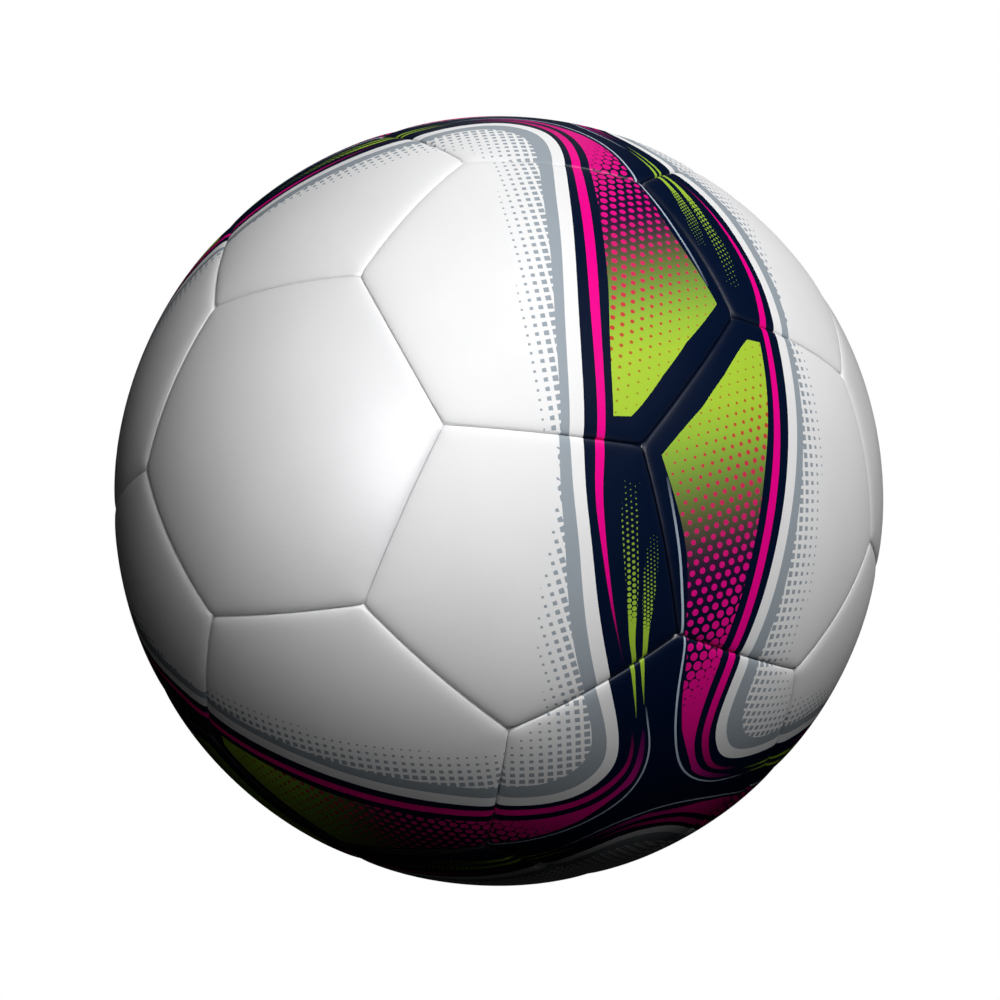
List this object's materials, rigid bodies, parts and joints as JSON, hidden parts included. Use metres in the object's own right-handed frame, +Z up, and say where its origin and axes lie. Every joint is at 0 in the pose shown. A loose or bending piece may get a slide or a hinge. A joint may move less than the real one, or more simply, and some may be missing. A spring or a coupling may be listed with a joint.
{
  "type": "soccer ball",
  "caption": "Round inflatable ball with a stitched cover of pentagon and hexagon panels, coloured halftone bands on white, a bladder and a pull-out valve plug.",
  "frame": {"origin": "centre of the ball", "axes": "+Z up; -Y is the side with a plain white hexagon and one printed band, as the ball is seen from the front; +X to the right in that view. The valve lies behind, up and to the left of that view."},
  "size_m": [0.22, 0.22, 0.22],
  "materials": {
    "cover_white": "semi-gloss fine grain",
    "cover_corner_hexagon": "semi-gloss fine grain, printed",
    "cover_band_hexagon": "semi-gloss fine grain, printed",
    "cover_pentagon": "semi-gloss fine grain, printed",
    "foam": "matte closed-cell foam",
    "lining": "plain weave",
    "thread": "waxed thread",
    "bladder_rubber": "smooth",
    "valve_rubber": "satin"
  },
  "bodies": {
    "ball": {"white_hexagon_1": "cover_white", "white_hexagon_2": "cover_white", "white_hexagon_3": "cover_white", "white_hexagon_valve": "cover_white", "corner_hexagon_1": "cover_corner_hexagon", "corner_hexagon_2": "cover_corner_hexagon", "corner_hexagon_3": "cover_corner_hexagon", "corner_hexagon_4": "cover_corner_hexagon", "band_hexagon_01": "cover_band_hexagon", "band_hexagon_02": "cover_band_hexagon", "band_hexagon_03": "cover_band_hexagon", "band_hexagon_04": "cover_band_hexagon", "band_hexagon_05": "cover_band_hexagon", "band_hexagon_06": "cover_band_hexagon", "band_hexagon_07": "cover_band_hexagon", "band_hexagon_08": "cover_band_hexagon", "band_hexagon_09": "cover_band_hexagon", "band_hexagon_10": "cover_band_hexagon", "band_hexagon_11": "cover_band_hexagon", "band_hexagon_12": "cover_band_hexagon", "pentagon_01": "cover_pentagon", "pentagon_02": "cover_pentagon", "pentagon_03": "cover_pentagon", "pentagon_04": "cover_pentagon", "pentagon_05": "cover_pentagon", "pentagon_06": "cover_pentagon", "pentagon_07": "cover_pentagon", "pentagon_08": "cover_pentagon", "pentagon_09": "cover_pentagon", "pentagon_10": "cover_pentagon", "pentagon_11": "cover_pentagon", "pentagon_12": "cover_pentagon", "foam_hexagons": "foam", "foam_pentagons": "foam", "foam_at_valve": "foam", "lining_hexagons": "lining", "lining_pentagons": "lining", "lining_at_valve": "lining", "thread_between_hexagons": "thread", "thread_round_pentagons": "thread", "bladder": "bladder_rubber", "valve_patch": "bladder_rubber", "balance_patch": "bladder_rubber", "valve_housing": "valve_rubber"},
    "valve_plug": {"valve_plug": "valve_rubber"}
  },
  "joints": [
    {"name": "valve_plug_slide", "type": "slide", "parent": "ball", "child": "valve_plug", "axis": [-0.3516, 0.6871, 0.6359], "range_m": [0, 0.03]}
  ]
}
